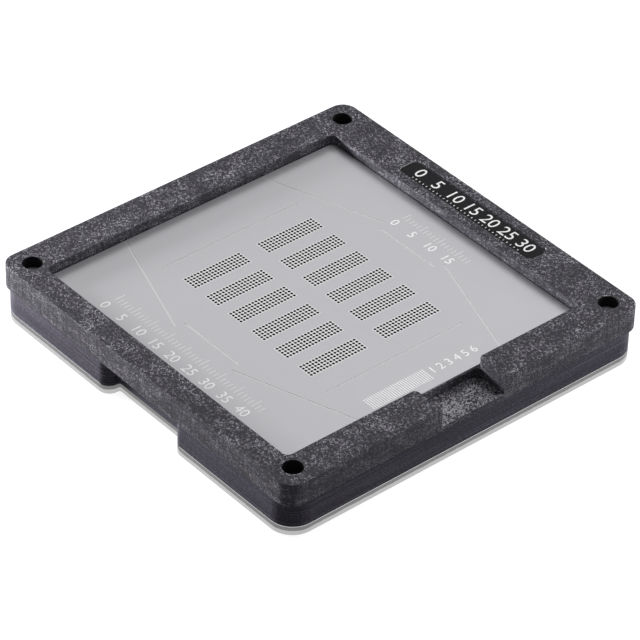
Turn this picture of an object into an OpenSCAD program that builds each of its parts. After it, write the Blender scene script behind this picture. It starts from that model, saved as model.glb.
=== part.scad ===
// Reballing platform: a perforated solder paste stencil lying in the window of a positioning
// frame, on a magnet base with a clear foot pad.
//
// Millimetres. +Z is up. The platform stands on z = 0 with its outline centred on the Z axis.
// The label rail is at the back (+Y) and the lift notch for the stencil is on the right (+X).

/* [Outline] */
// Width of the platform, left to right
body_w = 85; // [84:1:100]
// Depth of the platform, front to back
body_d = 85; // [84:1:100]
// Corner radius of the positioning frame
frame_corner_r = 3.1; // [1.5:0.1:5]
// Corner radius of the base plate and of the foot pad
base_corner_r = 4.9; // [3:0.1:8]
// Broken edge of the frame and of the base plate
edge_break = 0.1; // [0.05:0.05:0.4]

/* [Thicknesses] */
// Thickness of the foot pad
pad_t = 1.8; // [1:0.1:4]
// Thickness of the base plate
base_t = 5.1; // [4.6:0.1:8]
// Thickness of the positioning frame
frame_t = 5.1; // [4.8:0.1:7]

/* [Stencil] */
// Width of the square stencil sheet
foil_w = 69.8; // [66:0.1:70.6]
// Thickness of the stencil sheet
foil_t = 0.25; // [0.15:0.01:0.4]
// Corner radius of the stencil sheet
foil_corner_r = 1; // [0.5:0.1:3]
// Gap between the stencil sheet and the window on each side
foil_gap = 0.25; // [0.1:0.05:0.5]
// Corner radius of the window
window_corner_r = 1.3; // [0.8:0.1:3]
// Depth of the stencil's top face below the top of the frame
foil_sink = 2; // [1.5:0.1:2.4]
// How far the window sits in front of the middle of the outline
window_offset = 1.9; // [0:0.1:2.3]

/* [Apertures] */
// Diameter of one aperture
aperture_d = 0.5; // [0.3:0.05:0.6]
// Distance from one aperture to the next
ball_pitch = 0.75; // [0.65:0.05:0.85]
// Apertures from left to right in one block
block_cols = 5; // [2:1:6]
// Apertures from front to back in one block
block_rows = 18; // [4:1:18]
// Distance between the two blocks of one chip
block_pitch = 6.75; // [6:0.05:7]

/* [Chips] */
// Width of one memory chip
chip_w = 12; // [10:0.1:12.4]
// Length of one memory chip, front to back
chip_l = 14; // [12:0.1:15]
// Thickness of one memory chip
chip_t = 0.7; // [0.5:0.1:1]
// Chips from left to right
chip_cols = 3; // [1:1:3]
// Chips from front to back
chip_rows = 2; // [1:1:2]
// Distance between chips, left to right
chip_pitch_x = 13.4; // [13:0.1:15]
// Distance between chips, front to back
chip_pitch_y = 17.8; // [17:0.1:20]
// Gap around a chip in its seat
seat_gap = 0.05; // [0.02:0.01:0.15]
// Diameter of the relief drilled in each corner of a seat
seat_relief_d = 1; // [0.6:0.1:1.2]

/* [Relief lines] */
// Width of the etched relief lines
line_w = 0.3; // [0.2:0.05:0.6]
// Depth of the etched relief lines
line_depth = 0.08; // [0.04:0.01:0.1]
// Length of the straight lines in front of and behind the apertures
front_line_l = 15.8; // [8:0.2:24]
// Distance of those lines from the middle of the stencil
front_line_y = 23.7; // [22:0.1:24.5]
// Length of the straight lines left and right of the apertures
side_line_l = 32.8; // [16:0.2:36]
// Distance of those lines from the middle of the stencil
side_line_x = 23.8; // [22:0.1:28]
// Left-right distance of a slanted line's inner end from the middle
slant_x = 8.2; // [6:0.1:12]
// Front-back distance of a slanted line's inner end from the middle
slant_y = 25.7; // [25.2:0.1:30]
// Slope of the slanted lines, in degrees
slant_angle = 18.7; // [10:0.1:25]

/* [Lift notch] */
// Width of the notch that a fingertip lifts the stencil through
lift_w = 15.1; // [12:0.1:20]
// How far behind the middle of the window the notch is centred
lift_offset = 2.5; // [0:0.1:6]
// Thickness of the frame left under the notch
lift_floor_t = 1.1; // [0.6:0.1:1.6]
// Radius of the notch's corners
lift_corner_r = 1; // [0.5:0.1:2]

/* [Finger notch] */
// Width of the notch under the front edge, for lifting the frame off the base
finger_w = 19.2; // [16:0.1:28]
// Depth of that notch
finger_depth = 3; // [3:0.1:5]
// Radius of the two rounded corners at its mouth
finger_mouth_r = 2.4; // [1:0.1:2.4]
// Radius of its two inner corners
finger_corner_r = 0.5; // [0.3:0.1:0.6]

/* [Label] */
// Length of the label strip
label_l = 37.2; // [30:0.1:44]
// Width of the label strip
label_w = 4.6; // [3:0.1:5]
// Thickness of the label strip
label_t = 0.15; // [0.05:0.05:0.2]
// Corner radius of the label strip
label_corner_r = 1.1; // [0.5:0.1:2]
// Gap between the strip and its recess on each side
label_gap = 0.25; // [0.1:0.05:0.4]
// Depth of the label recess
recess_depth = 0.25; // [0.25:0.05:0.6]
// How far right of the middle the label is
label_shift = 0.4; // [-2:0.1:2]

/* [Corner holes and pins] */
// Distance of each corner hole's axis from the two nearest sides
hole_inset = 4.5; // [4:0.1:4.6]
// Diameter of the corner holes in the frame
hole_d = 4; // [3.5:0.1:4.2]
// Gap between a locating pin and its hole in the frame, all round
pin_gap = 0.05; // [0.02:0.01:0.1]
// Depth of a pin's top below the top of the frame
pin_sink = 2.2; // [1:0.1:3]
// Chamfer on both ends of a pin
pin_chamfer = 0.3; // [0.1:0.1:0.5]
// Depth of the pin seats in the base plate
pin_seat_depth = 4; // [2:0.1:4.2]

/* [Magnets] */
// Diameter of one magnet
magnet_d = 8; // [5:0.5:10]
// Thickness of one magnet
magnet_t = 3; // [2:0.1:4]
// Gap around and above a magnet in its pocket
magnet_gap = 0.1; // [0.05:0.05:0.3]
// Distance of the outer magnets' axes from the nearest side
magnet_inset = 15.5; // [12:0.5:17]

/* [Hidden] */
$fn = 48;
eps = 0.01;
// How far a cut runs past the side it opens
cut_over = 1;
// Height of each layer's top face
pad_top = pad_t;
base_top = pad_top + base_t;
frame_top = base_top + frame_t;
foil_top = frame_top - foil_sink;
foil_bottom = foil_top - foil_t;
seat_bottom = foil_bottom - chip_t;
lift_bottom = base_top + lift_floor_t;
// Window, and its middle, which the stencil and the chips share
window_w = foil_w + 2 * foil_gap;
window_y = -window_offset;
// Places of the corner holes and the bore that holds a pin
hole_x = body_w / 2 - hole_inset;
hole_y = body_d / 2 - hole_inset;
pin_d = hole_d - 2 * pin_gap;
pin_top = frame_top - pin_sink;
pin_bottom = base_top - pin_seat_depth;
pin_corners = [[-1, -1], [1, 1]];
// Label rail
back_rail = body_d / 2 - window_y - window_w / 2;
label_y = body_d / 2 - back_rail / 2;
recess_bottom = frame_top - recess_depth;
// Magnet pockets
magnet_bottom = base_top - magnet_t - magnet_gap;
magnet_x = [-1, -1/3, 1/3, 1] * (body_w / 2 - magnet_inset);
magnet_y = [-1, 0, 1] * (body_d / 2 - magnet_inset);
magnet_places = [for (y = magnet_y) for (x = magnet_x) [x, y]];

// Flat rectangle with round corners, centred
module round_rect(w, d, r) {
    square([w - 2 * r, d], center = true);
    square([w, d - 2 * r], center = true);
    for (x = [-1, 1], y = [-1, 1])
        translate([x * (w / 2 - r), y * (d / 2 - r)]) circle(r);
}

// Plate with round corners whose upper and lower edges are broken by c
module broken_plate(w, d, r, t, c) {
    broken_prism(d, w - 2 * r, t, c);
    rotate(90) broken_prism(w, d - 2 * r, t, c);
    for (x = [-1, 1], y = [-1, 1])
        translate([x * (w / 2 - r), y * (d / 2 - r), 0]) {
            cylinder(h = c, r1 = r - c, r2 = r);
            translate([0, 0, c]) cylinder(h = t - 2 * c, r = r);
            translate([0, 0, t - c]) cylinder(h = c, r1 = r, r2 = r - c);
        }
}

// Bar of length l along X, span wide along Y and t high, its four long edges broken by c
module broken_prism(span, l, t, c) {
    y = span / 2;
    rotate([90, 0, 90]) translate([0, 0, -l / 2]) linear_extrude(l)
        polygon([
            [-y + c, 0], [y - c, 0], [y, c], [y, t - c],
            [y - c, t], [-y + c, t], [-y, t - c], [-y, c]
        ]);
}

// Fillet that eases an outside corner: the square corner beyond a quarter circle
module corner_ease(r) {
    difference() {
        translate([-eps, -eps]) square(r + eps);
        translate([r, r]) circle(r);
    }
}

// Children at the middle of every chip
module at_chips() {
    for (i = [0 : chip_cols - 1], j = [0 : chip_rows - 1])
        translate([
            (i - (chip_cols - 1) / 2) * chip_pitch_x,
            window_y + (j - (chip_rows - 1) / 2) * chip_pitch_y
        ]) children();
}

// One block of apertures, flat
module aperture_block() {
    for (i = [0 : block_cols - 1], j = [0 : block_rows - 1])
        translate([
            (i - (block_cols - 1) / 2) * ball_pitch,
            (j - (block_rows - 1) / 2) * ball_pitch
        ]) circle(d = aperture_d, $fn = 20);
}

// Etched lines that stop the heated sheet from buckling, flat
module relief_lines() {
    for (side = [-1, 1]) {
        translate([0, side * front_line_y]) square([front_line_l, line_w], center = true);
        translate([side * side_line_x, 0]) square([line_w, side_line_l], center = true);
    }
    for (mx = [0, 1], my = [0, 1])
        mirror([mx, 0]) mirror([0, my])
            translate([slant_x, slant_y]) rotate(-slant_angle)
                translate([0, -line_w / 2]) square([foil_w / 2, line_w]);
}

// Stencil: thin steel sheet with the apertures of all chips and the etched relief lines
module stencil_sheet() {
    color([0.75, 0.75, 0.77]) difference() {
        translate([0, 0, foil_bottom]) linear_extrude(foil_t) difference() {
            translate([0, window_y]) round_rect(foil_w, foil_w, foil_corner_r);
            at_chips()
                for (side = [-1, 1]) translate([side * block_pitch / 2, 0]) aperture_block();
        }
        translate([0, window_y, foil_top - line_depth]) linear_extrude(line_depth + eps)
            intersection() {
                relief_lines();
                square(foil_w + 2 * eps, center = true);
            }
    }
}

// Seat of one chip, flat, with its corners relieved so that a square chip drops in
module chip_seat() {
    w = chip_w + 2 * seat_gap;
    l = chip_l + 2 * seat_gap;
    square([w, l], center = true);
    for (x = [-1, 1], y = [-1, 1]) translate([x * w / 2, y * l / 2]) circle(d = seat_relief_d);
}

// Lift notch, flat: from the right side of the window out through the right rail
module lift_notch() {
    length = body_w / 2 - window_w / 2 + cut_over;
    translate([window_w / 2, window_y + lift_offset]) {
        translate([lift_corner_r, -lift_w / 2]) square([length - lift_corner_r, lift_w]);
        translate([0, lift_corner_r - lift_w / 2])
            square([length, lift_w - 2 * lift_corner_r]);
        for (side = [-1, 1])
            translate([lift_corner_r, side * (lift_w / 2 - lift_corner_r)])
                circle(lift_corner_r);
    }
}

// Rounding of the two rail ends where the lift notch opens into the window, flat
module lift_mouth() {
    translate([window_w / 2, window_y + lift_offset])
        for (side = [0, 1]) mirror([0, side])
            translate([0, lift_w / 2]) corner_ease(lift_corner_r);
    translate([window_w / 2 - eps, window_y + lift_offset - lift_w / 2])
        square([lift_corner_r + 2 * eps, lift_w]);
}

// Positioning frame: window for the stencil, seats for the chips, notch, recess and holes
module positioning_frame() {
    color([0.27, 0.27, 0.29]) difference() {
        translate([0, 0, base_top])
            broken_plate(body_w, body_d, frame_corner_r, frame_t, edge_break);
        translate([0, window_y, foil_bottom]) linear_extrude(foil_t + foil_sink + eps)
            round_rect(window_w, window_w, window_corner_r);
        translate([0, 0, seat_bottom]) linear_extrude(chip_t + eps) at_chips() chip_seat();
        translate([0, 0, lift_bottom]) linear_extrude(frame_t) lift_notch();
        translate([0, 0, foil_bottom]) linear_extrude(foil_t + foil_sink + eps) lift_mouth();
        translate([label_shift, label_y, recess_bottom]) linear_extrude(recess_depth + eps)
            round_rect(label_l + 2 * label_gap, label_w + 2 * label_gap,
                       label_corner_r + label_gap);
        for (x = [-1, 1], y = [-1, 1])
            translate([x * hole_x, y * hole_y, base_top - eps])
                cylinder(h = frame_t + 2 * eps, d = hole_d);
    }
}

// Label: thin strip in the recess of the back rail, pushed against its front edge
module label_strip() {
    color([0.12, 0.12, 0.13])
        translate([label_shift, label_y - label_gap + eps, recess_bottom])
            linear_extrude(label_t) round_rect(label_l, label_w, label_corner_r);
}

// Finger notch, flat, in the middle of the front edge and reaching well out of it
module finger_notch() {
    translate([0, -body_d / 2 - finger_depth])
        round_rect(finger_w, 4 * finger_depth, finger_corner_r);
    for (side = [0, 1]) mirror([side, 0])
        translate([finger_w / 2, -body_d / 2]) corner_ease(finger_mouth_r);
}

// Base plate: pockets for the magnets, seats for the pins, finger notch in front
module base_plate() {
    color([0.2, 0.2, 0.22]) difference() {
        translate([0, 0, pad_top])
            broken_plate(body_w, body_d, base_corner_r, base_t, edge_break);
        translate([0, 0, pad_top - eps]) linear_extrude(base_t + 2 * eps) finger_notch();
        for (place = magnet_places)
            translate([place.x, place.y, magnet_bottom])
                cylinder(h = base_t, d = magnet_d + 2 * magnet_gap);
        for (corner = pin_corners)
            translate([corner.x * hole_x, corner.y * hole_y, pin_bottom])
                cylinder(h = base_t, d = pin_d);
    }
}

// Foot pad: clear non-slip sheet under the base plate, with the same outline
module foot_pad() {
    color([0.82, 0.83, 0.85]) linear_extrude(pad_t) difference() {
        round_rect(body_w, body_d, base_corner_r);
        finger_notch();
    }
}

// Locating pin in one of the pin corners, turned with a chamfer on both ends
module locating_pin(corner) {
    h = pin_top - pin_bottom;
    r = pin_d / 2;
    c = pin_chamfer;
    color([0.6, 0.6, 0.62])
        translate([corner.x * hole_x, corner.y * hole_y, pin_bottom])
            rotate_extrude()
                polygon([[0, 0], [r - c, 0], [r, c], [r, h - c], [r - c, h], [0, h]]);
}

// Disc magnet lying in pocket number n, counted from the front left
module magnet(n) {
    color([0.7, 0.7, 0.72])
        translate([magnet_places[n - 1].x, magnet_places[n - 1].y, magnet_bottom])
            cylinder(h = magnet_t, d = magnet_d);
}

stencil_sheet();
positioning_frame();
label_strip();
base_plate();
foot_pad();
locating_pin(pin_corners[0]);  // front_left_pin
locating_pin(pin_corners[1]);  // back_right_pin
for (n = [1 : len(magnet_places)])
    magnet(n);
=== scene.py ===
# %% [markdown]
# # A reballing stencil on its platform
# This lesson dresses a small workshop tool. A perforated steel sheet lies in the sunk window of
# a dark composite frame, and the frame sits on a black magnet base with a clear foot pad. The
# solids come from the construction and keep their exact size, so what is left to do in
# Blender is the finish of every surface, the fine marks, the light and the camera.

# %% Load the construction
import math

import bpy
from mathutils import Matrix, Vector


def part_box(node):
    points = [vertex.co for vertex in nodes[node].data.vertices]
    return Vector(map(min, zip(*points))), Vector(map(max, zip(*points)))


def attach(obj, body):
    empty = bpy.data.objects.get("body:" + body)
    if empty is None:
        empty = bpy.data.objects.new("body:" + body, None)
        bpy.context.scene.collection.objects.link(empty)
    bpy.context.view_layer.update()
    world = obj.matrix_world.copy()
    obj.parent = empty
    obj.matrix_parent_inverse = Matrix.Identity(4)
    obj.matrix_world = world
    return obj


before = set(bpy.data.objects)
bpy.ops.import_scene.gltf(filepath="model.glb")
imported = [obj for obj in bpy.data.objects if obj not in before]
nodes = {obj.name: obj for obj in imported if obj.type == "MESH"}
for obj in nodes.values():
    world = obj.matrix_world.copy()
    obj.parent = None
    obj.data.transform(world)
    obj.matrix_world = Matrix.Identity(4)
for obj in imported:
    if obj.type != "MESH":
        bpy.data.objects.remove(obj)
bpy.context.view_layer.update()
MM = 0.001
print("nodes:", ", ".join(sorted(nodes)))

# %% [markdown]
# The stencil, the label and the frame decide where everything else goes. Their boxes are read
# once here, and every later step takes its heights and middles from them, so nothing can
# fall out of step with the solids.

# %% Where the main pieces lie
sheet_low, sheet_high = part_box("stencil_sheet")
label_low, label_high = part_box("label_strip")
frame_low, frame_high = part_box("positioning_frame")
base_low, base_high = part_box("base_plate")
sheet_middle = (sheet_low + sheet_high) / 2
label_middle = (label_low + label_high) / 2
print("top of the sheet at", round(sheet_high.z / MM, 2), "mm")
print("top of the frame at", round(frame_high.z / MM, 2), "mm")

# %% [markdown]
# ## Camera
# A long lens from far away keeps the square platform almost free of perspective, as in
# a catalogue. The camera is set by its heading, its angle above the bench, a slight roll and
# its distance from the point it looks at, which is easier to adjust than three rotations.

# %% Camera
CAMERA_HEADING = 48.971
CAMERA_RISE = 37.694
CAMERA_ROLL = 1.521
CAMERA_DISTANCE = 711.65 * MM
CAMERA_LENS = 217.08
SENSOR_WIDTH = 36
CLIP_NEAR = 10 * MM
CLIP_FAR = 10
AIM_RIGHT = 6.85 * MM
AIM_FORWARD = 3.61 * MM
look_at = Vector((AIM_RIGHT, sheet_middle.y - AIM_FORWARD, sheet_high.z))


def add_camera():
    heading = math.radians(CAMERA_HEADING)
    rise = math.radians(CAMERA_RISE)
    forward = Vector((
        -math.sin(heading) * math.cos(rise),
        math.cos(heading) * math.cos(rise),
        -math.sin(rise),
    ))
    bpy.ops.object.camera_add(location=look_at - forward * CAMERA_DISTANCE)
    camera = bpy.context.object
    camera.name = "camera"
    level = forward.to_track_quat("-Z", "Y").to_matrix()
    roll = Matrix.Rotation(math.radians(CAMERA_ROLL), 3, "Z")
    camera.rotation_euler = (level @ roll).to_euler()
    camera.data.lens = CAMERA_LENS
    camera.data.sensor_width = SENSOR_WIDTH
    camera.data.clip_start = CLIP_NEAR
    camera.data.clip_end = CLIP_FAR
    bpy.context.scene.camera = camera
    return camera


camera = add_camera()
print("camera stands at", [round(c / MM) for c in camera.location], "mm")

# %% [markdown]
# ## Light
# A low lamp on the left grazes the front faces, so the rounded corner beside them falls dark
# at once. A weak one at the back right lifts the far half of the right side, and a wide panel
# above and behind evens out the top. All three are area lamps, because a point lamp would
# draw hard shadows inside the sunk window.

# %% Lamps
def add_lamp(name, place, aim, size, power):
    """A soft rectangular lamp. Places and sizes are in millimetres, power is in watts."""
    bpy.ops.object.light_add(type="AREA", location=Vector(place) * MM)
    lamp = bpy.context.object
    lamp.name = name
    lamp.data.shape = "RECTANGLE"
    lamp.data.size = size[0] * MM
    lamp.data.size_y = size[1] * MM
    lamp.data.energy = power
    direction = (Vector(aim) - Vector(place)).normalized()
    lamp.rotation_euler = direction.to_track_quat("-Z", "Y").to_euler()
    print(name, "gives", power, "W")


add_lamp("left_lamp", place=(-200, -112, 42), aim=(0, 0, 6), size=(90, 40), power=1.45)
add_lamp("right_lamp", place=(130, 110, 30), aim=(42, 24, 6), size=(50, 40), power=0.105)
add_lamp("overhead_panel", place=(20, 300, 400), aim=(0, 0, 10), size=(320, 320), power=1.60)

# %% [markdown]
# The world around the scene has two strengths. A Light Path node tells which kind of ray asks:
# rays from the eye, from steel or through plastic get plain white, and rays that carry light to
# a dull surface get a tenth of it. A white world of one strength would wash out all shading.

# %% Surround
SURROUND_LIGHT = 0.10
SURROUND_SEEN = 1.0


def seen_directly(tree):
    """1 for rays from the eye, from a mirror or through clear plastic, 0 for the rest."""
    ray = tree.nodes.new("ShaderNodeLightPath")
    first = tree.nodes.new("ShaderNodeMath")
    first.operation = "MAXIMUM"
    tree.links.new(ray.outputs["Is Camera Ray"], first.inputs[0])
    tree.links.new(ray.outputs["Is Transmission Ray"], first.inputs[1])
    second = tree.nodes.new("ShaderNodeMath")
    second.operation = "MAXIMUM"
    tree.links.new(first.outputs[0], second.inputs[0])
    tree.links.new(ray.outputs["Is Glossy Ray"], second.inputs[1])
    return second.outputs[0]


def add_surround():
    world = bpy.data.worlds.new("white_surround")
    bpy.context.scene.world = world
    world.use_nodes = True
    tree = world.node_tree
    background = tree.nodes["Background"]
    background.inputs["Color"].default_value = (1, 1, 1, 1)
    level = tree.nodes.new("ShaderNodeMapRange")
    level.inputs["To Min"].default_value = SURROUND_LIGHT
    level.inputs["To Max"].default_value = SURROUND_SEEN
    tree.links.new(seen_directly(tree), level.inputs["Value"])
    tree.links.new(level.outputs[0], background.inputs["Strength"])


add_surround()
bpy.context.scene.view_settings.view_transform = "Standard"
print("surround:", SURROUND_LIGHT, "as light,", SURROUND_SEEN, "as seen")

# %% [markdown]
# The floor is one large plain sheet of white card just under the foot pad. It is pale to the
# eye without needing strong lamps, because part of its brightness is its own, and it still
# darkens a little where the platform shades it.

# %% Floor
FLOOR_SIZE = 8
FLOOR_GAP = 0.02 * MM
FLOOR_WHITE = (0.26, 0.26, 0.27, 1)
FLOOR_GLOW = 0.9


def white_card():
    material = bpy.data.materials.new("white_card")
    material.use_nodes = True
    tree = material.node_tree
    tree.nodes.clear()
    card = tree.nodes.new("ShaderNodeBsdfDiffuse")
    card.inputs["Color"].default_value = FLOOR_WHITE
    glow = tree.nodes.new("ShaderNodeEmission")
    amount = tree.nodes.new("ShaderNodeMath")
    amount.operation = "MULTIPLY"
    amount.inputs[1].default_value = FLOOR_GLOW
    tree.links.new(seen_directly(tree), amount.inputs[0])
    tree.links.new(amount.outputs[0], glow.inputs["Strength"])
    both = tree.nodes.new("ShaderNodeAddShader")
    tree.links.new(card.outputs[0], both.inputs[0])
    tree.links.new(glow.outputs[0], both.inputs[1])
    out = tree.nodes.new("ShaderNodeOutputMaterial")
    tree.links.new(both.outputs[0], out.inputs["Surface"])
    return material


def nothing_selected():
    bpy.ops.object.select_all(action="DESELECT")


nothing_selected()
bpy.ops.mesh.primitive_plane_add(size=FLOOR_SIZE, location=(0, 0, -FLOOR_GAP))
floor = bpy.context.object
floor.name = "floor"
floor.data.materials.append(white_card())
print("floor laid,", FLOOR_SIZE, "m wide")

# %% [markdown]
# ## A recipe for finishes
# Every finish below is a small network of nodes around one Principled shader. Writing each
# node out would hide the idea, so this recipe gives short calls: add a node, do a sum, lay a
# pattern in millimetres along a chosen direction, and mix two colours.

# %% Recipe helper
class Recipe:
    """One finish in the making."""

    def __init__(self, name):
        self.material = bpy.data.materials.new(name)
        self.material.use_nodes = True
        self.tree = self.material.node_tree
        self.tree.nodes.clear()
        self.shader = self.add("ShaderNodeBsdfPrincipled")
        out = self.add("ShaderNodeOutputMaterial")
        self.tree.links.new(self.shader.outputs[0], out.inputs["Surface"])
        coordinates = self.add("ShaderNodeTexCoord")
        self.place = coordinates.outputs["Object"]
        axes = self.add("ShaderNodeSeparateXYZ", {"Vector": self.place})
        self.x, self.y, self.z = axes.outputs
        facing = self.add("ShaderNodeSeparateXYZ", {"Vector": coordinates.outputs["Normal"]})
        self.facing_up = facing.outputs["Z"]

    def feed(self, socket, value):
        """Links another node's output to the socket, or sets a plain value on it."""
        if isinstance(value, bpy.types.NodeSocket):
            self.tree.links.new(value, socket)
        else:
            socket.default_value = value

    def add(self, kind, inputs=None, **settings):
        """Adds a node with the given inputs and settings."""
        node = self.tree.nodes.new(kind)
        for key, value in settings.items():
            setattr(node, key, value)
        for key, value in (inputs or {}).items():
            self.feed(node.inputs[key], value)
        return node

    def sum(self, operation, first, second=0.0, third=0.0):
        """One step of arithmetic."""
        inputs = {0: first, 1: second, 2: third}
        return self.add("ShaderNodeMath", inputs, operation=operation).outputs[0]

    def between(self, value, low, high, to_low=0.0, to_high=1.0):
        """A smooth step of value from low to high."""
        inputs = {"Value": value, "From Min": low, "From Max": high,
                  "To Min": to_low, "To Max": to_high}
        step = self.add("ShaderNodeMapRange", inputs, interpolation_type="SMOOTHSTEP")
        return step.outputs[0]

    def laid(self, size, turn=(0, 0, 0), shift=(0, 0, 0)):
        """Object coordinates counted in cells of the given size in millimetres, turned."""
        inputs = {"Vector": self.place, "Location": [s * MM for s in shift],
                  "Rotation": [math.radians(t) for t in turn],
                  "Scale": [s * MM for s in size]}
        return self.add("ShaderNodeMapping", inputs, vector_type="TEXTURE").outputs[0]

    def noise(self, size, detail=2.0):
        """Cloudy pattern, 0 to 1, with patches of the given size in millimetres."""
        inputs = {"Vector": self.laid(size), "Scale": 1.0, "Detail": detail}
        return self.add("ShaderNodeTexNoise", inputs).outputs["Fac"]

    def mix(self, amount, first, second):
        """A blend of two colours. The node keeps its colour sockets at 6, 7 and 2."""
        inputs = {0: amount, 6: first, 7: second}
        return self.add("ShaderNodeMix", inputs, data_type="RGBA").outputs[2]

    def ramp(self, amount, stops):
        """Colours at given positions of amount, as {position: (red, green, blue)}."""
        node = self.add("ShaderNodeValToRGB", {"Fac": amount})
        elements = node.color_ramp.elements
        for index, (position, color) in enumerate(sorted(stops.items())):
            stop = elements[index] if index < 2 else elements.new(position)
            stop.position = position
            stop.color = (*color, 1)
        return node.outputs["Color"]

    def relief(self, height, depth, strength=1.0):
        """Fine relief: height 0 to 1 stands for depth millimetres."""
        inputs = {"Height": height, "Distance": depth * MM, "Strength": strength}
        bump = self.add("ShaderNodeBump", inputs)
        self.feed(self.shader.inputs["Normal"], bump.outputs[0])

    def finish(self, **values):
        """Sets the shader's own sockets, with _ for each space in a socket's name."""
        for key, value in values.items():
            self.feed(self.shader.inputs[key.replace("_", " ")], value)
        return self.material


def grey(level, tint=0.0):
    """A near neutral colour, a little blue where tint is above 0."""
    return (level, level * (1 - tint / 3), level * (1 + tint))


def rgba(color):
    """The colour with full opacity, as a socket wants it."""
    return (*color, 1)


def dress(material, *names):
    """Puts the material in every slot of the named nodes."""
    for name in names:
        slots = nodes[name].data.materials
        if len(slots) == 0:
            slots.append(material)
        for index in range(len(slots)):
            slots[index] = material
    print(material.name, "on", len(names), "solids")


print("recipe ready")

# %% [markdown]
# ## Fibre composite of the frame
# The frame is milled from a board of pressed glass fibre and resin. The fibres lie flat in
# layers, in every direction, so the top shows a felt of short light streaks and the sides show
# them cut through. Each layer here is a Voronoi pattern whose cells are stretched into flat
# needles and turned to their own heading. Eight such layers, with the brightest kept at every
# point, give the felt, and the sides come out right by themselves because the pattern is solid.

# %% Fibre felt
FIBRE_LENGTH = 0.95
FIBRE_WIDTH = 0.15
FIBRE_THICKNESS = 0.10
FIBRE_LAYERS = 8
FIBRE_TILT = 7
FIBRE_EXTRA_TURN = 11
FIBRE_SHIFT = (3.1, 1.7, 0.9)
FIBRE_EDGE = 0.70
FIBRE_CORE = 0.15
FIBRE_RARITY = 5.0


def fibre_felt(recipe):
    """Brightness of the fibres, 0 to 1. Most are dull, and a few catch the light."""
    brightest = None
    for layer in range(FIBRE_LAYERS):
        heading = layer * 180 / FIBRE_LAYERS + FIBRE_EXTRA_TURN * (layer % 3)
        tilt = FIBRE_TILT * (-1) ** layer
        shift = [step * layer for step in FIBRE_SHIFT]
        cells = recipe.laid((FIBRE_LENGTH, FIBRE_WIDTH, FIBRE_THICKNESS),
                            (tilt, tilt / 2, heading), shift)
        needles = recipe.add("ShaderNodeTexVoronoi", {"Vector": cells, "Scale": 1.0})
        core = recipe.between(needles.outputs["Distance"], FIBRE_EDGE, FIBRE_CORE)
        chance = recipe.add("ShaderNodeSeparateColor", {"Color": needles.outputs["Color"]})
        bright = recipe.sum("POWER", chance.outputs[0], FIBRE_RARITY)
        streak = recipe.sum("MULTIPLY", core, bright)
        brightest = streak if brightest is None else recipe.sum("MAXIMUM", brightest, streak)
    return brightest


print("felt of", FIBRE_LAYERS, "layers ready")

# %% [markdown]
# Three places on the frame look different: the milled floor of the lift notch is coarser
# and lighter than the polished top, the walls of the drilled corner holes get painted shade, a
# near black colour for the shadow inside them, and a narrow light rim of bare fibre shows around
# the label. Each is picked out by a mask, which is 1 there and 0 elsewhere. The masks measure
# from the solids' boxes, so they follow the solids, and no face has to be chosen by hand.

# %% Masks on the frame
HOLE_INSET = 4.5 * MM
HOLE_RADIUS = 2.0 * MM
RECESS_MARGIN = 0.45 * MM
RECESS_SOFTNESS = 0.02 * MM


def lift_notch_floor(recipe):
    """1 on the floor of the lift notch, 0 elsewhere."""
    outside = recipe.between(recipe.x, sheet_high.x + 1.6 * MM, sheet_high.x + 3.2 * MM)
    under_sheet = recipe.between(recipe.z, sheet_low.z - 0.9 * MM, sheet_low.z - 1.5 * MM)
    above_base = recipe.between(recipe.z, base_high.z + 0.9 * MM, base_high.z + 1.05 * MM)
    upward = recipe.between(recipe.facing_up, 0.5, 0.9)
    return recipe.sum("MULTIPLY", recipe.sum("MULTIPLY", outside, under_sheet),
                      recipe.sum("MULTIPLY", above_base, upward))


def corner_bores(recipe):
    """1 on the walls of the four corner holes, where their shade is painted, 0 elsewhere."""
    squares = []
    for axis, reach in ((recipe.x, frame_high.x), (recipe.y, frame_high.y)):
        offset = recipe.sum("SUBTRACT", recipe.sum("ABSOLUTE", axis), reach - HOLE_INSET)
        squares.append(recipe.sum("POWER", offset, 2.0))
    radius = recipe.sum("SQRT", recipe.sum("ADD", *squares))
    near = recipe.between(radius, HOLE_RADIUS * 1.04, HOLE_RADIUS * 1.01)
    below_top = recipe.between(recipe.z, frame_high.z - 0.02 * MM, frame_high.z - 0.15 * MM)
    return recipe.sum("MULTIPLY", near, below_top)


def recess_rim(recipe):
    """1 on the walls of the recess for the label, 0 elsewhere."""
    inside = recipe.between(recipe.z, label_low.z - 3 * RECESS_SOFTNESS,
                            label_low.z - RECESS_SOFTNESS)
    for axis, low, high in ((recipe.x, label_low.x, label_high.x),
                            (recipe.y, label_low.y, label_high.y)):
        start = low - RECESS_MARGIN
        end = high + RECESS_MARGIN
        after = recipe.between(axis, start - RECESS_SOFTNESS, start)
        before = recipe.between(axis, end + RECESS_SOFTNESS, end)
        inside = recipe.sum("MULTIPLY", recipe.sum("MULTIPLY", inside, after), before)
    upright = recipe.between(recipe.facing_up, 0.8, 0.4)
    return recipe.sum("MULTIPLY", inside, upright)


print("masks ready for notch, holes and label recess")

# %% [markdown]
# The felt's brightness now runs through a colour ramp, from nearly black resin to light fibre.
# A large soft cloud makes some areas richer in fibre than others, as in a real board.

# %% Frame finish
CLOUD_SIZE = (5, 5, 1.2)
NOTCH_BOOST = 1.35
FELT_COLORS = {
    0.0: grey(0.024, 0.18),
    0.25: grey(0.038, 0.16),
    0.55: grey(0.135, 0.11),
    1.0: grey(0.50, 0.06),
}
# Painted shade: the walls of the corner holes are coloured near black for the shadow inside them.
BORE_PAINTED_SHADE = 0.012
RIM_GREY = 0.62


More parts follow.
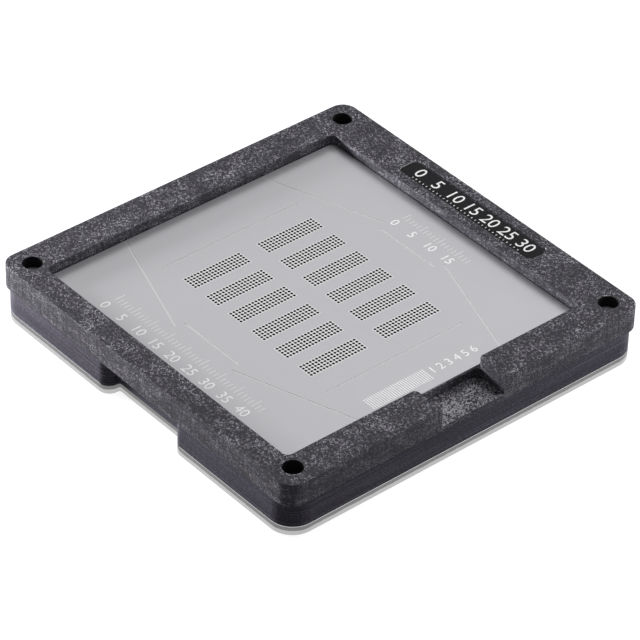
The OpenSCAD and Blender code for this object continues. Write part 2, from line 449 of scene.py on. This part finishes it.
def frame_finish():
    recipe = Recipe("frame_composite")
    cloud = recipe.between(recipe.noise(CLOUD_SIZE, detail=3.0), 0.3, 0.7, 0.7, 1.25)
    level = recipe.sum("MULTIPLY", fibre_felt(recipe), cloud)
    boost = recipe.sum("MULTIPLY_ADD", lift_notch_floor(recipe), NOTCH_BOOST, 1.0)
    level = recipe.sum("MULTIPLY", level, boost)
    color = recipe.ramp(level, FELT_COLORS)
    # Painted shade on the walls of the corner holes.
    color = recipe.mix(corner_bores(recipe), color, rgba(grey(BORE_PAINTED_SHADE)))
    color = recipe.mix(recess_rim(recipe), color, rgba(grey(RIM_GREY)))
    recipe.relief(level, 0.03, 0.6)
    return recipe.finish(Base_Color=color, Roughness=0.62, Specular_IOR_Level=0.12)


dress(frame_finish(), "positioning_frame")

# %% [markdown]
# ## Stencil steel
# The stencil is thin stainless sheet, rolled and then satin finished. Around each aperture
# mouth a thin dark ring is painted, which is painted shade that makes the holes look darker, and
# the steel between the apertures is scrubbed bright. Painting 1080 rings by hand is out of the
# question, so the plane is folded into one cell of the ball layout: each point asks how far it
# is from the nearest aperture. The pitches below are those of the solids, all in millimetres.

# %% Rings around the apertures
BALL_PITCH = 0.75
BLOCK_PITCH = 6.75
BLOCK_COLUMNS = 5
BLOCK_ROWS = 18
BLOCK_MARGIN = 0.08
CHIP_PITCH_X = 13.4
CHIP_PITCH_Y = 17.8
APERTURE_RADIUS = 0.25
RING_START = APERTURE_RADIUS + 0.01
RING_END = APERTURE_RADIUS + 0.05
BARE_START = APERTURE_RADIUS + 0.10


def from_nearest(recipe, axis, middles, count):
    """Distance along axis from the nearest row of apertures, and 1 inside the blocks."""
    total = 0.0
    inside = 0.0
    for middle in middles:
        distance = recipe.sum("SUBTRACT", axis, middle * MM)
        local = recipe.sum("MULTIPLY", distance, 1 / (BALL_PITCH * MM))
        shifted = recipe.sum("ADD", local, (count - 1) / 2)
        offset = recipe.sum("SUBTRACT", shifted, recipe.sum("ROUND", shifted))
        reach = count / 2 + BLOCK_MARGIN
        within = recipe.sum("LESS_THAN", recipe.sum("ABSOLUTE", local), reach)
        total = recipe.sum("MULTIPLY_ADD", offset, within, total)
        inside = recipe.sum("ADD", inside, within)
    return recipe.sum("MULTIPLY", total, BALL_PITCH), inside


def aperture_rings(recipe):
    """(painted shade ring around the apertures, bare steel between them), each 0 to 1."""
    sides = (-1, 1)
    block_x = [chip * CHIP_PITCH_X + side * BLOCK_PITCH / 2 for chip in (-1, 0, 1) for side in sides]
    block_y = [sheet_middle.y / MM + side * CHIP_PITCH_Y / 2 for side in sides]
    across, inside_x = from_nearest(recipe, recipe.x, block_x, BLOCK_COLUMNS)
    along, inside_y = from_nearest(recipe, recipe.y, block_y, BLOCK_ROWS)
    along_square = recipe.sum("MULTIPLY", along, along)
    radius = recipe.sum("SQRT", recipe.sum("MULTIPLY_ADD", across, across, along_square))
    inside = recipe.sum("MULTIPLY", inside_x, inside_y)
    shade_ring = recipe.between(radius, RING_END, RING_START)
    bare = recipe.between(radius, RING_END, BARE_START)
    return recipe.sum("MULTIPLY", shade_ring, inside), recipe.sum("MULTIPLY", bare, inside)


print("rings for blocks of", BLOCK_COLUMNS, "by", BLOCK_ROWS, "apertures ready")

# %% [markdown]
# Satin steel is neither a mirror nor paint. Full metal would mirror the dark walls of the frame
# far across the sheet, so part of the shader stays dull. A very fine grain runs along X, and the
# engraved lines, found by their depth, are a little lighter than the sheet.

# %% Stencil finish
STEEL_GRAIN = (3.0, 0.12, 0.12)
STEEL_DRIFT = (26, 26, 26)
PATTERN_SHARE = 0.10
SATIN_DARK = grey(0.45, 0.035)
SATIN_LIGHT = grey(0.57, 0.035)
ENGRAVED_GREY = 0.63
BARE_GREY = 0.68
# Painted shade: a near black ring around each aperture mouth darkens the holes.
APERTURE_SHADE_GREY = 0.012


def steel_finish():
    recipe = Recipe("stencil_steel")
    grain = recipe.noise(STEEL_GRAIN, detail=3.0)
    drift = recipe.noise(STEEL_DRIFT, detail=1.0)
    drift_part = recipe.sum("MULTIPLY", drift, PATTERN_SHARE)
    tone = recipe.sum("MULTIPLY_ADD", grain, PATTERN_SHARE, drift_part)
    satin = recipe.mix(tone, rgba(SATIN_DARK), rgba(SATIN_LIGHT))
    engraved = recipe.between(recipe.z, sheet_high.z - 0.02 * MM, sheet_high.z - 0.05 * MM)
    satin = recipe.mix(engraved, satin, rgba(grey(ENGRAVED_GREY)))
    shade_ring, bare = aperture_rings(recipe)
    satin = recipe.mix(bare, satin, rgba(grey(BARE_GREY)))
    # Painted shade ring around every aperture.
    color = recipe.mix(shade_ring, satin, rgba(grey(APERTURE_SHADE_GREY)))
    sheen = recipe.between(grain, 0.2, 0.8, 0.28, 0.34)
    roughness = recipe.sum("MULTIPLY_ADD", shade_ring, 0.3, sheen)
    recipe.relief(grain, 0.002, 0.3)
    return recipe.finish(Base_Color=color, Metallic=0.6, Roughness=roughness)


dress(steel_finish(), "stencil_sheet")

# %% [markdown]
# ## Black base
# The base plate is black anodised metal. The mill leaves faint lines along its sides, which
# are noise stretched very long in X and Y, and the oxide layer has a fine grain, which is the
# same noise kept small. Adding the two before the colour ramp lets them break each other up.

# %% Base finish
MILL_LINES = (30, 30, 0.22)
OXIDE_GRAIN = (0.28, 0.28, 0.16)
BASE_COLORS = {
    0.3: grey(0.022, 0.26),
    0.52: grey(0.045, 0.24),
    0.72: grey(0.16, 0.16),
}


def base_finish():
    recipe = Recipe("base_anodised")
    lines = recipe.noise(MILL_LINES, detail=4.0)
    grain = recipe.sum("MULTIPLY", recipe.noise(OXIDE_GRAIN, detail=2.0), 0.6)
    level = recipe.sum("MULTIPLY_ADD", lines, 0.45, grain)
    color = recipe.ramp(level, BASE_COLORS)
    recipe.relief(lines, 0.01, 0.25)
    return recipe.finish(Base_Color=color, Roughness=0.5, Specular_IOR_Level=0.06)


dress(base_finish(), "base_plate")

# %% [markdown]
# ## Clear pad
# The pad is a soft clear sheet, and its cut edge looks grey in the upper half, where the black
# plate's underside and the shadowed floor below it show through. True glass needs many bounces
# of light and stays noisy, so the edge is made part see-through instead: the Alpha socket lets
# some of the floor through, and more of it below than above, and the darker upper colour is
# painted shade for the plate and its shadow seen through the edge. The flat faces are nearly clear.

# %% Pad finish
EDGE_WOBBLE = (1.2, 1.2, 0.5)
WOBBLE_HEIGHT = 0.3 * MM
SHADE_START = 0.95 * MM
SHADE_END = 1.25 * MM
PAD_LOWER = grey(0.09, 0.04)
# Painted shade: the upper half of the pad's edge is darker for the shadowed plate seen through it.
PAD_UPPER_SHADE = grey(0.03, 0.08)
LOWER_ALPHA = 0.46
UPPER_ALPHA = 0.81


def pad_finish():
    recipe = Recipe("pad_clear")
    wobble = recipe.noise(EDGE_WOBBLE, detail=3.0)
    height = recipe.sum("MULTIPLY_ADD", wobble, WOBBLE_HEIGHT, recipe.z)
    shade = recipe.between(height, SHADE_START, SHADE_END)
    # Painted shade on the upper half of the edge.
    color = recipe.mix(shade, rgba(PAD_LOWER), rgba(PAD_UPPER_SHADE))
    flat = recipe.between(recipe.sum("ABSOLUTE", recipe.facing_up), 0.5, 0.9)
    solid = recipe.between(shade, 0.0, 1.0, LOWER_ALPHA, UPPER_ALPHA)
    alpha = recipe.sum("MULTIPLY", solid, recipe.sum("MULTIPLY_ADD", flat, -0.85, 1.0))
    return recipe.finish(Base_Color=color, Roughness=0.4, Alpha=alpha, IOR=1.4)


dress(pad_finish(), "foot_pad")

# %% [markdown]
# ## Pins and magnets
# The pins are ground steel, dulled by oil and flux, and show only their ends deep in two holes.
# The magnets are nickel plated and hidden in the base. They get a finish too, so that the
# tool can be shown in pieces later.

# %% Pin and magnet finishes
def pin_finish():
    recipe = Recipe("pin_steel")
    grinding = recipe.noise((0.08, 1.5, 1.5), detail=2.0)
    color = recipe.mix(grinding, rgba(grey(0.16, 0.05)), rgba(grey(0.32, 0.05)))
    return recipe.finish(Base_Color=color, Metallic=0.8, Roughness=0.45)


def magnet_finish():
    recipe = Recipe("magnet_nickel")
    plating = recipe.noise((0.6, 0.6, 0.6), detail=2.0)
    color = recipe.mix(plating, rgba(grey(0.55)), rgba(grey(0.68)))
    return recipe.finish(Base_Color=color, Metallic=1.0, Roughness=0.25)


dress(pin_finish(), "front_left_pin", "back_right_pin")
dress(magnet_finish(), *sorted(name for name in nodes if name.startswith("magnet_")))

# %% [markdown]
# ## Label film
# The label is a matt black film. Its sheen is kept very low, because it faces a white
# surround and would otherwise turn grey.

# %% Label finish
def film_finish():
    recipe = Recipe("label_black")
    speckle = recipe.noise((0.4, 0.4, 0.4), detail=2.0)
    color = recipe.mix(speckle, rgba(grey(0.006, 0.1)), rgba(grey(0.013, 0.1)))
    return recipe.finish(Base_Color=color, Roughness=0.6, Specular_IOR_Level=0.06)


dress(film_finish(), "label_strip")

# %% [markdown]
# ## Marks
# The label carries a white millimetre scale, and light scales are etched into the sheet
# beside the apertures. A scale is a row of ticks with a number at every fifth one. A tick is
# modelled once as a thin bar with rounded ends and copied along the row. The numbers are
# text turned into mesh, and everything on one scale is joined into one piece.

# %% Ticks and numbers
INK = 0.012 * MM
TICK_ROUNDING = 0.4
DIGIT_SHARE = 0.70
WELD_DISTANCE = 0.0005 * MM


def model_tick(width, length):
    """A thin bar with rounded ends, standing on z = 0, in millimetres."""
    nothing_selected()
    bpy.ops.mesh.primitive_cube_add(size=1, location=(0, 0, INK / 2),
                                    scale=(width * MM, length * MM, INK))
    tick = bpy.context.object
    bpy.ops.object.transform_apply(location=True, rotation=True, scale=True)
    bpy.ops.object.mode_set(mode="EDIT")
    bpy.ops.mesh.select_all(action="DESELECT")
    bpy.ops.object.mode_set(mode="OBJECT")
    for edge in tick.data.edges:
        first, second = (tick.data.vertices[v].co for v in edge.vertices)
        edge.select = abs(first.z - second.z) > INK / 2
    bpy.ops.object.mode_set(mode="EDIT")
    bpy.ops.mesh.select_mode(type="EDGE")
    bpy.ops.mesh.bevel(offset=width * MM * TICK_ROUNDING, segments=2, affect="EDGES")
    bpy.ops.object.mode_set(mode="OBJECT")
    return tick


def copy_to(piece, place):
    """A copy with its own mesh, moved by place in millimetres."""
    nothing_selected()
    piece.select_set(True)
    bpy.context.view_layer.objects.active = piece
    bpy.ops.object.duplicate(linked=False)
    bpy.ops.transform.translate(value=Vector(place) * MM)
    return bpy.context.object


def model_number(text, height, place):
    """Flat digits of the given height in millimetres, centred on place."""
    nothing_selected()
    bpy.ops.object.text_add(location=(0, 0, 0))
    digits = bpy.context.object
    digits.data.body = text
    digits.data.align_x = "CENTER"
    digits.data.align_y = "CENTER"
    digits.data.size = height * MM / DIGIT_SHARE
    digits.data.resolution_u = 3
    digits.data.extrude = INK / 2
    bpy.ops.object.convert(target="MESH")
    digits = bpy.context.object
    digits.location = (place[0] * MM, place[1] * MM, INK / 2)
    bpy.ops.object.transform_apply(location=True, rotation=True, scale=True)
    return digits


def joined(parts, name):
    """All parts as one piece, with its place in its mesh."""
    nothing_selected()
    for part in parts:
        part.select_set(True)
    bpy.context.view_layer.objects.active = parts[0]
    bpy.ops.object.join()
    piece = bpy.context.object
    piece.name = name
    bpy.ops.object.transform_apply(location=True, rotation=True, scale=True)
    return piece


print("a mark stands", INK / MM, "mm proud")

# %% [markdown]
# A scale is built flat around its own middle, where every place is a simple multiple of its
# step. It is turned and laid on its surface only when it is complete. Its place is then
# written into the mesh, so the finished piece stands at the origin like all others.

# %% Whole scales
def model_scale(name, length, step, number_every, tick_sizes, number_height, number_y):
    """A scale along X around its middle. tick_sizes: (width, short, long)."""
    width, short, long = tick_sizes
    parts = []
    short_tick = model_tick(width, short)
    long_tick = model_tick(width, long)
    for index in range(round(length / step) + 1):
        x = index * step - length / 2
        if number_every and index % number_every == 0:
            parts.append(copy_to(long_tick, (x, long / 2, 0)))
            parts.append(model_number(str(round(index * step)), number_height, (x, number_y)))
        else:
            parts.append(copy_to(short_tick, (x, short / 2, 0)))
    nothing_selected()
    short_tick.select_set(True)
    long_tick.select_set(True)
    bpy.ops.object.delete()
    return joined(parts, name)


def model_numbers(name, numbers, height, pitch):
    """Numbers in a row along X around its middle."""
    numbers = list(numbers)
    start = -pitch * (len(numbers) - 1) / 2
    return joined([model_number(str(number), height, (start + index * pitch, 0))
                   for index, number in enumerate(numbers)], name)


def lay_on(scale, place, turn, material):
    """Turns the scale about Z, in degrees, and lays it on its surface at place."""
    scale.rotation_euler = (0, 0, math.radians(turn))
    scale.location = Vector(place) * MM
    nothing_selected()
    scale.select_set(True)
    bpy.context.view_layer.objects.active = scale
    bpy.ops.object.transform_apply(location=True, rotation=True, scale=True)
    bpy.ops.object.mode_set(mode="EDIT")
    bpy.ops.mesh.select_all(action="SELECT")
    bpy.ops.mesh.remove_doubles(threshold=WELD_DISTANCE)
    bpy.ops.mesh.normals_make_consistent(inside=False)
    bpy.ops.object.mode_set(mode="OBJECT")
    scale.data.materials.clear()
    scale.data.materials.append(material)
    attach(scale, "root")
    print(scale.name, "has", len(scale.data.polygons), "faces")


print("a scale can be built and laid on its surface")

# %% [markdown]
# The label is printed in white ink, slightly worn. The marks on the steel are etched: the acid
# leaves a frosted surface that scatters light, so it is mostly dull and a little metallic.

# %% Ink and etching
def ink_finish():
    recipe = Recipe("white_ink")
    wear = recipe.noise((0.5, 0.5, 0.5), detail=2.0)
    color = recipe.mix(wear, rgba(grey(0.74)), rgba(grey(0.92)))
    return recipe.finish(Base_Color=color, Roughness=0.6, Specular_IOR_Level=0.2)


def etched_finish():
    recipe = Recipe("etched_mark")
    frost = recipe.noise((0.2, 0.2, 0.2), detail=2.0)
    color = recipe.mix(frost, rgba(grey(0.62)), rgba(grey(0.95)))
    return recipe.finish(Base_Color=color, Roughness=0.5, Metallic=0.3)


white_ink = ink_finish()
etched_mark = etched_finish()
print("ink and etching ready")

# %% [markdown]
# The label's scale has very short ticks under large numbers. On the sheet a long scale runs
# along the front, a short one along the back, and beside the lift notch stands a ladder of
# long ticks, followed by the numbers of the six chip places. Places are in millimetres.

# %% Lay the scales
label_top = label_high.z / MM
sheet_top = sheet_high.z / MM
label_x = label_middle.x / MM
label_y = label_middle.y / MM
sheet_y = sheet_middle.y / MM

label_scale = model_scale("label_scale", length=30, step=1, number_every=5,
                          tick_sizes=(0.16, 0.4, 0.4), number_height=2.8, number_y=2.15)
lay_on(label_scale, (label_x, label_y - 1.9, label_top), 0, white_ink)

front_scale = model_scale("front_scale", length=42, step=1, number_every=5,
                          tick_sizes=(0.10, 1.6, 2.6), number_height=2.2, number_y=-2.2)
lay_on(front_scale, (-0.5, sheet_y - 29.6, sheet_top), 0, etched_mark)

back_scale = model_scale("back_scale", length=18, step=1, number_every=5,
                         tick_sizes=(0.10, 1.4, 2.2), number_height=2.0, number_y=-1.9)
lay_on(back_scale, (1.5, sheet_y + 29.0, sheet_top), 0, etched_mark)

side_scale = model_scale("side_scale", length=14, step=0.5, number_every=0,
                         tick_sizes=(0.16, 3.4, 3.8), number_height=0, number_y=0)
lay_on(side_scale, (33.0, sheet_y - 5.7, sheet_top), 90, etched_mark)

chip_numbers = model_numbers("chip_numbers", range(1, 7), height=1.9, pitch=2.0)
lay_on(chip_numbers, (31.0, sheet_y + 7.8, sheet_top), 90, etched_mark)
